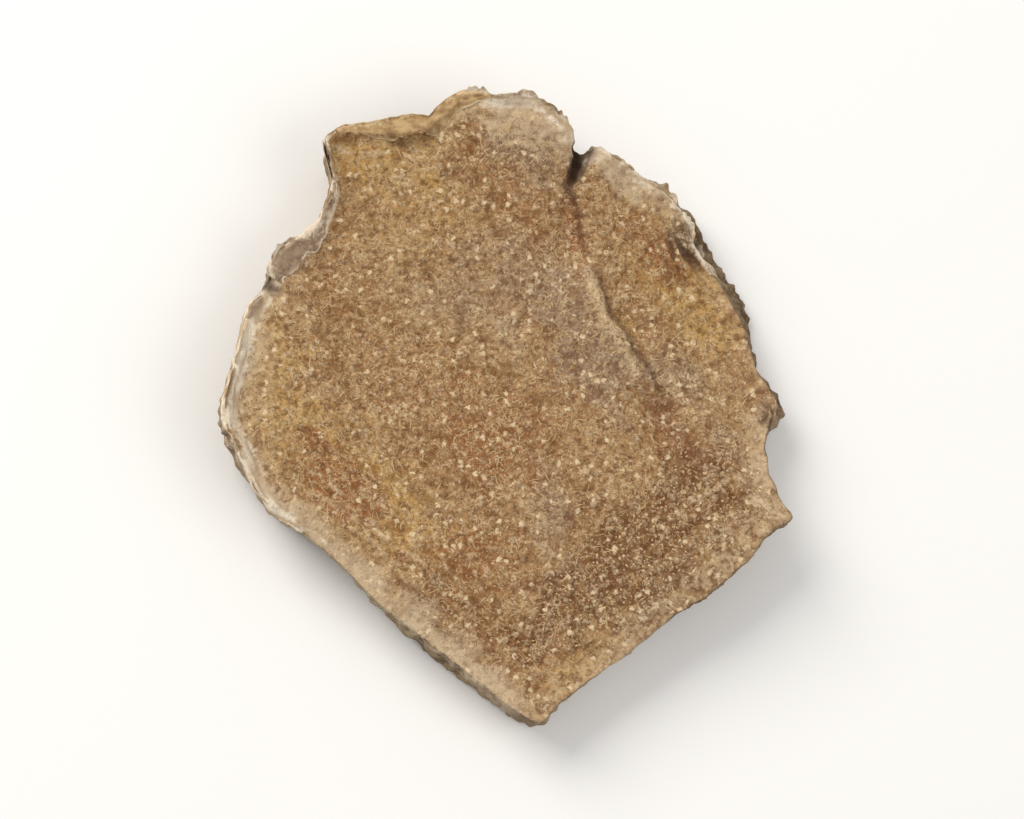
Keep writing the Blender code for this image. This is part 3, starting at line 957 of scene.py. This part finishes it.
@dataclass(frozen=True)
class PaperyCork:
    """Dried cork in paper-thin torn layers: cream at the torn edge, browned in blotches, matt."""

    cream: str = "#eadbc4"
    browned: str = "#b3946c"
    border: str = "#efe1c9"

    def material(self, name: str) -> bpy.types.Material:
        """Makes the finish, under the name given."""
        shader = Shader(name)
        blotch, crumb = (shader.noise(size, 4.0, Roughness=0.65) for size in (0.8, 0.3))
        frayed = shader.maths("ADD", crumb, shader.mark("torn"))
        colour = shader.layered(
            self.cream,
            (self.browned, shader.share(blotch, 0.42, 0.58, "LINEAR")),
            (self.border, shader.share(frayed, 0.85, 1.05, "LINEAR")),
        )
        return shader.finished(Base_Color=colour, Roughness=0.8, Normal=shader.bump(crumb, 0.8, 0.10))


@dataclass(frozen=True)
class DryStarch:
    """Crumbs of dried starch, hard and slightly waxy: tan to cream, each with a tone of its own."""

    tan: str = "#96704a"
    cream: str = "#d3b78f"

    def material(self) -> bpy.types.Material:
        """Makes the finish."""
        shader = Shader("dry_starch")
        colour = shader.layered(self.tan, (self.cream, shader.mark("tone")))
        normal = shader.bump(shader.noise(0.2, 2.0), 0.4, 0.03)
        return shader.finished(Base_Color=colour, Roughness=0.55, Normal=normal)


@dataclass(frozen=True)
class DryFibre:
    """A vascular strand pulled out by the knife: straw-coloured, matt."""

    straw: str = "#cdb083"
    tan: str = "#96703f"

    def material(self) -> bpy.types.Material:
        """Makes the finish."""
        shader = Shader("dry_fibre")
        browned = shader.share(shader.noise(1.2, 2.0), 0.36, 0.60, "LINEAR")
        return shader.finished(Base_Color=shader.layered(self.straw, (self.tan, browned)), Roughness=0.75)


@dataclass
class DriedSlice:
    """The slice itself: the solid of the frame, refined, then given its grain, folds and marks."""

    node: str = "zedoary_slice"
    name: str = "slice_dried_flesh_and_skin"
    mesh_edge: float = 0.135
    kept_below: float = 0.30
    grain_height: float = 0.09
    stroke_height: float = 0.06
    vein_height: float = 0.07

    def build(self) -> bpy.types.Object:
        """Builds the slice and gives it its finish.

        Returns:
            The piece that stands for the slice's solid.
        """
        piece = self.refined()
        mesh = piece.data
        markings = Markings(self.places(mesh))
        places = markings.places
        moved = places.points + places.normals * self.relief(markings)[:, None]
        moved[:, 2] = np.clip(moved[:, 2], 0.0, HIGHEST)
        mesh.vertices.foreach_set("co", (moved * MM).ravel())
        for name, values in markings.shares.items():
            attribute = mesh.attributes.new(name, "FLOAT", "POINT")
            attribute.data.foreach_set("value", values.astype(np.float32))
        mesh.update()
        mesh.materials.clear()
        mesh.materials.append(DriedRhizome().material())
        mesh.shade_smooth()
        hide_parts(self.node)
        hand_over(piece)
        return piece

    def refined(self) -> bpy.types.Object:
        """A copy of the solid, rounded, with small even faces for the relief and fewer below."""
        bm = bmesh.new()
        bm.from_mesh(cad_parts[self.node].data)
        bmesh.ops.remove_doubles(bm, verts=bm.verts[:], dist=0.001 * MM)
        bmesh.ops.join_triangles(
            bm, faces=bm.faces[:], angle_face_threshold=math.radians(50.0),
            angle_shape_threshold=math.radians(60.0),
        )
        mesh = bpy.data.meshes.new(self.name)
        bm.to_mesh(mesh)
        bm.free()
        piece = linked(self.name, mesh)
        rounded = piece.modifiers.new("rounded", "SUBSURF")
        rounded.levels = rounded.render_levels = 1
        even = piece.modifiers.new("even", "REMESH")
        even.mode = "VOXEL"
        even.voxel_size = self.mesh_edge * MM
        eased = piece.modifiers.new("eased", "SMOOTH")
        eased.factor = 0.5
        eased.iterations = 3
        piece = applied(piece)
        lower = [v.index for v in piece.data.vertices if v.normal.z < -0.6]
        group = piece.vertex_groups.new(name="lower_cut_face")
        group.add(lower, 1.0, "REPLACE")
        thinned = piece.modifiers.new("fewer_faces_below", "DECIMATE")
        thinned.vertex_group = group.name
        thinned.ratio = 1.0 - (1.0 - self.kept_below) * len(lower) / len(piece.data.vertices)
        return applied(piece)

    def places(self, mesh: bpy.types.Mesh) -> Places:
        """Works out where each of the mesh's vertices lies."""
        points = vertex_places(mesh)
        normals = np.empty(3 * len(mesh.vertices))
        mesh.vertices.foreach_get("normal", normals)
        return Places(points, normals.reshape(-1, 3), RimLine.read(points))

    def relief(self, markings: Markings) -> np.ndarray:
        """How far each vertex moves out along its normal.

        Args:
            markings: The slice's markings, which rise and sink with the relief.

        Returns:
            The moves in millimetres.
        """
        places, marks = markings.places, markings.shares
        points = places.points
        inner = ramp(-0.1, 0.5, places.inset)
        swell = 0.11 * noise_at(points, 3.6, 11.0) + 0.07 * noise_at(points, 1.3, 17.0)
        coarse = 0.9 + 0.6 * marks["coarse"]
        grains = self.grain_height * coarse * (marks["grain"] - 0.6 * marks["hollow"])
        strokes = self.stroke_height * marks["thread"] + self.vein_height * marks["vein_and_ridge_highlight"]
        crumbs = 0.07 * noise_at(points, 0.45, 13.0) + 0.05 * noise_at(points, 0.28, 19.0)
        cut = markings.face() * inner * (swell + grains + strokes + crumbs)

        scurf = noise_at(points, 0.42, 41.0)
        soft = 1.0 - 0.4 * places.between(210.0, 262.0, 12.0)
        soft *= 0.35 + 0.65 * ramp(1.0, 0.7, places.rise)
        bark = marks["skin"] * (0.16 * soft * places.wrinkles()[0] + 0.035 * scurf)
        creased = noise_at(points * np.array((1.0, 1.0, 0.3)), 0.8, 45.0)
        bark += 0.10 * marks["inside"] * creased

        torn = marks["edge"] * (0.16 * noise_at(points, 0.9, 43.0) - 0.05)
        layers = places.between(101.0, 124.0, 5.0) * ramp(2.8, 2.0, places.inset) * (places.z > 2.4)
        pleated = 0.10 * layers * noise_at(points, 0.85, 47.0)
        sunk = -0.24 * marks["crevice_shade"]
        return cut + bark + torn + pleated + sunk


@dataclass(frozen=True)
class Flake:
    """One torn scrap of the skin's outer layer, still held along the rim."""

    angle: float
    long: float
    wide: float
    rise: float
    lean: float
    drop: float = 0.0


@dataclass
class FrayedSkin:
    """Paper-thin flakes where the skin's edge frayed."""

    rim: RimLine
    thickness: float = 0.07
    flakes: tuple[Flake, ...] = (
        Flake(80.6, 1.0, 0.34, 35.0, 6.0), Flake(84.0, 1.7, 0.46, 60.0, -5.0),
        Flake(87.5, 1.7, 0.46, 40.0, 10.0), Flake(92.0, 2.0, 0.52, 65.0, -12.0),
        Flake(97.0, 1.5, 0.42, 30.0, 12.0),
        Flake(135.0, 1.8, 0.45, 65.0, 5.0), Flake(149.5, 1.4, 0.50, 50.0, 18.0),
        Flake(161.5, 1.7, 0.45, 70.0, -10.0), Flake(171.0, 2.2, 0.42, 65.0, 6.0),
        Flake(180.0, 2.6, 0.40, 70.0, -4.0), Flake(191.0, 2.2, 0.42, 60.0, 8.0),
        Flake(202.0, 1.8, 0.38, 50.0, 0.0),
        Flake(46.0, 1.9, 0.36, 30.0, 5.0, 0.1), Flake(55.0, 2.2, 0.42, 45.0, -6.0, 0.1),
        Flake(66.0, 1.8, 0.38, 35.0, 8.0, 0.1),
    )

    def build(self) -> bpy.types.Object:
        """Builds all the flakes as one piece."""
        bm = bmesh.new()
        for number, flake in enumerate(self.flakes):
            self.add(bm, flake, number)
        piece = mesh_object("frayed_skin_flakes", bm, PaperyCork().material("papery_cork_cream"))
        hand_over(piece)
        return piece

    def add(self, bm: bmesh.types.BMesh, flake: Flake, number: int) -> None:
        """Adds one flake.

        Args:
            bm: The mesh to add it to.
            flake: Its place and size.
            number: Its number, which seeds its torn border.
        """
        grown = bmesh.ops.create_grid(bm, x_segments=16, y_segments=6, size=0.5)["verts"]
        middle = self.rim.point(flake.angle)
        for vert in grown:
            along, out = vert.co.x, vert.co.y + 0.5
            ragged = 1.0 + 0.75 * noise.noise(Vector((along * 5.0, 3.7 * number, 0.0)))
            ends = max(1.0 - (2.0 * abs(along)) ** 3, 0.0)
            reach = flake.wide * out * ragged * (0.25 + 0.75 * ends)
            steep = math.radians(flake.rise) * (0.55 + 0.75 * out)
            ripple = 0.10 * noise.noise(Vector((along * 4.0, out * 2.0, 9.1 * number)))
            turn = math.degrees(along * flake.long / math.hypot(middle.x, middle.y))
            base = self.rim.point(flake.angle + turn)
            outward = Vector((base.x, base.y, 0.0)).normalized()
            inner = base - outward * 0.25
            outward.rotate(Matrix.Rotation(math.radians(flake.lean), 3, "Z"))
            rise = reach * math.sin(steep) + ripple * out - 0.06 - flake.drop
            place = inner + outward * reach * math.cos(steep) + Vector((0.0, 0.0, rise))
            place.z = min(place.z, HIGHEST - 0.05 * (1.0 - out))
            vert.co = place * MM
        faces = list({face for vert in grown for face in vert.link_faces})
        bmesh.ops.solidify(bm, geom=faces, thickness=self.thickness * MM)


@dataclass
class FoldedSkin:
    """A strip of skin that dried folded in over the rim of the cut face.

    Its widths and creams are those at equal steps along it. A cream says how pale the strip is toward
    the rim, its own pale edge and a painted highlight along its crest, from 0 to 1.
    to 1 for standing level with the rim.
    """

    name: str
    rim: RimLine
    slice_tree: BVHTree
    finish: PaperyCork
    start: float
    end: float
    widths: tuple[float, ...]
    lift: float
    creams: tuple[float, ...]
    thickness: float = 0.07

    def build(self) -> bpy.types.Object:
        """Builds the strip, with its torn inner border and its pleats."""
        bm = bmesh.new()
        torn = bm.verts.layers.float.new("torn")
        grid = bmesh.ops.create_grid(bm, x_segments=110, y_segments=20, size=0.5)["verts"]
        for vert in grid:
            along, in_by = vert.co.x + 0.5, vert.co.y + 0.5
            vert.co = self.place(along, in_by) * MM
            outer, inner = max(1.0 - 2.0 * in_by, 0.0), max(8.0 * in_by - 7.0, 0.0)
            # Paler toward the rim: the torn layer's own pale edge, with a painted highlight along the
            # crest.
            vert[torn] = self.at(along, self.creams) * (0.45 + 0.55 * outer) + 0.3 * inner
        lower = bmesh.ops.extrude_face_region(bm, geom=bm.faces[:], use_keep_orig=True)["geom"]
        for vert in (g for g in lower if isinstance(g, bmesh.types.BMVert)):
            vert.co.z -= self.thickness * MM
        bmesh.ops.recalc_face_normals(bm, faces=bm.faces[:])
        piece = mesh_object(self.name, bm, self.finish.material(self.name + "_cork"))
        hand_over(piece)
        return piece

    def at(self, along: float, steps: tuple[float, ...]) -> float:
        """The value there of a size given at equal steps along the strip."""
        return float(np.interp(along, np.linspace(0.0, 1.0, len(steps)), steps))

    def place(self, along: float, in_by: float) -> Vector:
        """Where a spot of the strip lies.

        Args:
            along: Its share of the way along the rim, from 0 to 1.
            in_by: Its share of the way from the rim to the torn border, from 0 to 1.

        Returns:
            The place in millimetres.
        """
        base = self.rim.point(self.start + (self.end - self.start) * along)
        inward = -Vector((base.x, base.y, 0.0)).normalized()
        seed = self.start

        def waves(length: float, across: float, number: float) -> float:
            """Noise over the strip, in waves so long and so far across, in millimetres."""
            longest = 0.30 * (self.end - self.start)
            return noise.noise(Vector((along * longest / length, in_by * 1.6 / across, number + seed)))

        torn = 1.0 + 0.30 * waves(1.6, 9.0, 5.0) + 0.09 * waves(0.5, 9.0, 1.0)
        spot = base + inward * (self.at(along, self.widths) * in_by * torn + 0.04)
        folds = 0.24 * waves(2.4, 0.40, 3.0) + 0.13 * waves(0.8, 0.45, 8.0) + 0.06 * waves(0.3, 0.3, 6.0)
        level = base.z - 0.14 - 0.45 * max(in_by - 0.6, 0.0)
        above = Vector((spot.x * MM, spot.y * MM, ABOVE))
        hit = self.slice_tree.ray_cast(above, Vector((0.0, 0.0, -1.0)))[0]
        surface = max(-9.0 if hit is None else hit.z / MM, base.z - 0.20 - 1.1 * in_by)
        height = (1.0 - self.lift) * surface + self.lift * level + folds
        return Vector((spot.x, spot.y, min(max(height, surface + 0.03), HIGHEST)))


@dataclass
class StarchGranules:
    """Pale crumbs of dried starch that stand out of the cut face, thickest at the lower right."""

    slice_piece: bpy.types.Object
    rim: RimLine
    count: int = 3400
    spacing: float = 0.32
    shortest: float = 0.06
    longest: float = 0.15
    margin: float = 1.1
    elsewhere: float = 0.26
    seed: int = 23

    def build(self) -> bpy.types.Object:
        """Builds all the granules as one piece."""
        mesh = self.slice_piece.data
        coarse, crevice_shade = (vertex_values(mesh, name) for name in (Tint.COARSE.value, "crevice_shade"))
        tree = surface_tree(self.slice_piece)
        draw = random.Random(self.seed)
        bm = bmesh.new()
        tone = bm.verts.layers.float.new("tone")
        taken: set[tuple[int, int]] = set()
        made = 0
        while made < self.count:
            x, y = self.rim.spot(draw, self.margin)
            cell = (round(x / self.spacing), round(y / self.spacing))
            start = Vector((x * MM, y * MM, ABOVE))
            hit, normal, index, _ = tree.ray_cast(start, Vector((0.0, 0.0, -1.0)))
            if cell in taken or hit is None or normal.z < 0.7:
                continue
            corner = mesh.polygons[index].vertices[0]
            share = coarse[corner]
            if crevice_shade[corner] > 0.1:
                continue
            if draw.random() > self.elsewhere + (1.0 - self.elsewhere) * share:
                continue
            taken.add(cell)
            self.add(bm, tone, draw, hit, normal, share)
            made += 1
        piece = mesh_object("starch_granules", bm, DryStarch().material())
        hand_over(piece)
        return piece

    def add(
        self,
        bm: bmesh.types.BMesh,
        tone: bmesh.types.BMLayerItem,
        draw: random.Random,
        hit: Vector,
        normal: Vector,
        share: float,
    ) -> None:
        """Adds one granule, sunk for most of its depth.

        Args:
            bm: The mesh to add it to.
            tone: The layer that holds each granule's own tone.
            draw: The source of random numbers.
            hit: Its place on the surface, in metres.
            normal: The surface's normal there.
            share: How coarse the flesh is there, from 0 to 1, which makes it larger and paler.
        """
        half = draw.uniform(self.shortest, self.longest) * (0.75 + 0.35 * share) * MM
        size = Matrix.Diagonal((half, half * draw.uniform(0.35, 0.8), half * 0.45, 1.0))
        turn = normal.to_track_quat("Z", "Y").to_matrix().to_4x4()
        spin = Matrix.Rotation(draw.uniform(0.0, math.tau), 4, "Z")
        place = Matrix.Translation(hit - normal * half * 0.20)
        grown = bmesh.ops.create_icosphere(
            bm, subdivisions=1, radius=1.0, matrix=place @ turn @ spin @ size
        )["verts"]
        own = draw.uniform(0.0, 0.75) ** 1.2 + 0.7 * share * draw.random()
        for vert in grown:
            vert.co += (vert.co - hit) * draw.uniform(-0.22, 0.22)
            vert.co.z = max(vert.co.z, 0.0)
            vert[tone] = own


@dataclass
class LooseFibres:
    """Fine strands that the knife pulled out of the flesh, dried down on the cut faces."""

    slice_piece: bpy.types.Object
    rim: RimLine
    count: int = 2200
    thickness: float = 0.10
    shortest: float = 0.5
    longest: float = 1.1
    margin: float = 1.6
    step: float = 0.16
    seed: int = 11

    def build(self) -> bpy.types.Object:
        """Builds all the strands as one piece."""
        curve = bpy.data.curves.new("loose_fibres", "CURVE")
        curve.dimensions = "3D"
        curve.bevel_depth = 0.5 * self.thickness * MM
        curve.bevel_resolution = 0
        curve.use_fill_caps = True
        draw = random.Random(self.seed)
        tree = surface_tree(self.slice_piece)
        shares = (vertex_values(self.slice_piece.data, name) for name in ("crevice_shade", Tint.STAIN.value))
        bare = np.maximum(*shares)
        made = 0
        while made < self.count:
            side = Side.UPPER if draw.random() < 0.75 else Side.LOWER
            if self.strand(curve, tree, draw, side, bare):
                made += 1
        curve.materials.append(DryFibre().material())
        piece = applied(linked("loose_fibres", curve))
        piece.data.shade_smooth()
        hand_over(piece)
        return piece

    def strand(
        self,
        curve: bpy.types.Curve,
        tree: BVHTree,
        draw: random.Random,
        side: Side,
        bare: np.ndarray,
    ) -> bool:
        """Lays one strand on a cut face.

        Args:
            curve: The curve to add it to.
            tree: The slice's surface, in metres.
            draw: The source of random numbers.
            side: The cut face that it lies on.
            bare: For each vertex of the slice, how cracked or stained it is there, from 0 to 1.

        Returns:
            Whether it fitted on sound flesh inside the rim.
        """
        x, y = self.rim.spot(draw, self.margin)
        heading = draw.uniform(0.0, math.tau)
        bend = draw.uniform(-0.22, 0.22)
        length = draw.uniform(self.shortest, self.longest)
        places = []
        for i in range(int(length / self.step) + 1):
            start = Vector((x * MM, y * MM, side.value * ABOVE))
            hit, normal, index, _ = tree.ray_cast(start, Vector((0.0, 0.0, -side.value)))
            if hit is None or abs(normal.z) < 0.5:
                return False
            if bare[self.slice_piece.data.polygons[index].vertices[0]] > 0.35:
                return False
            sunk = 0.50 - 0.38 * math.sin(math.pi * i * self.step / length)
            lowest = 0.6 * self.thickness * MM
            place = hit - normal * sunk * self.thickness * MM
            places.append(Vector((place.x, place.y, max(place.z, lowest))))
            x += self.step * math.cos(heading)
            y += self.step * math.sin(heading)
            heading += bend + draw.uniform(-0.30, 0.30)
        if len(places) < 4:
            return False
        spline = curve.splines.new("POLY")
        spline.points.add(len(places) - 1)
        for number, (point, place) in enumerate(zip(spline.points, places)):
            point.co = (*place, 1.0)
            point.radius = 0.45 + 0.55 * math.sin(math.pi * (number + 0.5) / len(places))
        return True


@dataclass
class Studio:
    """A plain pale table, soft light from the upper left, and a camera looking down on the slice."""

    azimuth: float = -35.0
    elevation: float = 74.0
    lens: float = 85.0
    distance: float = 144.0
    target: tuple[float, float, float] = (0.2, -0.2, 2.4)
    table: str = "#fdfdfc"

    def build(self) -> None:
        """Sets up the table, the lights and the camera."""
        self.add_table()
        self.add_light("key_softbox", (-0.62, 0.55, 0.62), 300.0, 480.0, 1.75, "#fffaf2")
        self.add_light("fill_softbox", (0.75, -0.35, 0.75), 420.0, 520.0, 0.80, "#fffaf4")
        self.add_world(0.46)
        self.add_camera()
        view = bpy.context.scene.view_settings
        view.view_transform = "Standard"
        view.look = "None"

    def add_table(self) -> None:
        """Adds the table, at the height the slice rests on."""
        bm = bmesh.new()
        bmesh.ops.create_grid(bm, x_segments=2, y_segments=2, size=0.6)
        material = bpy.data.materials.new("matt_white_laminate")
        material.use_nodes = True
        surface = material.node_tree.nodes["Principled BSDF"]
        set_inputs(surface, {"Base Color": linear(self.table), "Roughness": 0.9})
        mesh_object("table", bm, material)

    def add_light(
        self,
        name: str,
        way: tuple[float, float, float],
        size: float,
        distance: float,
        power: float,
        colour: str,
    ) -> None:
        """Adds a square softbox that faces the slice.

        Args:
            name: Its name.
            way: The direction from the slice to it.
            size: The length of its side.
            distance: How far from the slice it stands.
            power: Its power in watts.
            colour: The colour of its light.
        """
        data = bpy.data.lights.new(name, "AREA")
        data.size = size * MM
        data.energy = power
        data.color = linear(colour)[:3]
        light = linked(name, data)
        towards = Vector(way).normalized()
        light.location = towards * distance * MM
        light.rotation_euler = towards.to_track_quat("Z", "Y").to_euler()

    def add_world(self, strength: float) -> None:
        """Adds even light from all round."""
        world = bpy.data.worlds.new("studio_air")
        world.use_nodes = True
        background = world.node_tree.nodes["Background"]
        set_inputs(background, {"Color": (1.0, 1.0, 1.0, 1.0), "Strength": strength})
        bpy.context.scene.world = world

    def add_camera(self) -> None:
        """Adds the camera, turned so that +Y is up in its picture."""
        around, above = math.radians(self.azimuth), math.radians(self.elevation)
        back = Vector((
            math.sin(around) * math.cos(above),
            -math.cos(around) * math.cos(above),
            math.sin(above),
        ))
        up = (Vector((0.0, 1.0, 0.0)) - back * back.y).normalized()
        data = bpy.data.cameras.new("camera")
        data.lens = self.lens
        data.clip_start = 0.001
        camera = linked("camera", data)
        place = (Vector(self.target) + back * self.distance) * MM
        turn = Matrix((up.cross(back), up, back)).transposed().to_4x4()
        camera.matrix_world = Matrix.Translation(place) @ turn
        bpy.context.scene.camera = camera


def main() -> None:
    """Builds the slice, its flakes and fibres, and the studio."""
    logging.basicConfig(level=logging.INFO, format="%(name)s: %(message)s")
    Studio().build()
    slice_piece = DriedSlice().build()
    rim = RimLine.read(vertex_places(slice_piece.data))
    FrayedSkin(rim).build()
    tree = surface_tree(slice_piece)
    golden = PaperyCork("#c2a275", "#9c7b50", "#d8c098")
    FoldedSkin(
        "folded_skin_golden", rim, tree, golden, 94.5, 124.0,
        (0.35, 1.0, 1.35, 1.2, 1.5, 1.3, 0.9, 0.5), 1.0, (0.75, 0.6, 0.3, 0.3, 0.4, 0.6, 0.5),
    ).build()
    mauve = PaperyCork("#b59b80", "#927961", "#e4d2b9")
    FoldedSkin(
        "folded_skin_mauve", rim, tree, mauve, 127.0, 154.0,
        (0.5, 0.6, 0.75, 0.8, 1.0, 1.4, 1.7, 1.5, 1.0), 0.35,
        (0.6, 0.95, 0.95, 0.95, 0.85, 0.6, 0.4, 0.45, 0.85),
    ).build()
    StarchGranules(slice_piece, rim).build()
    LooseFibres(slice_piece, rim).build()


if __name__ == "__main__":
    main()
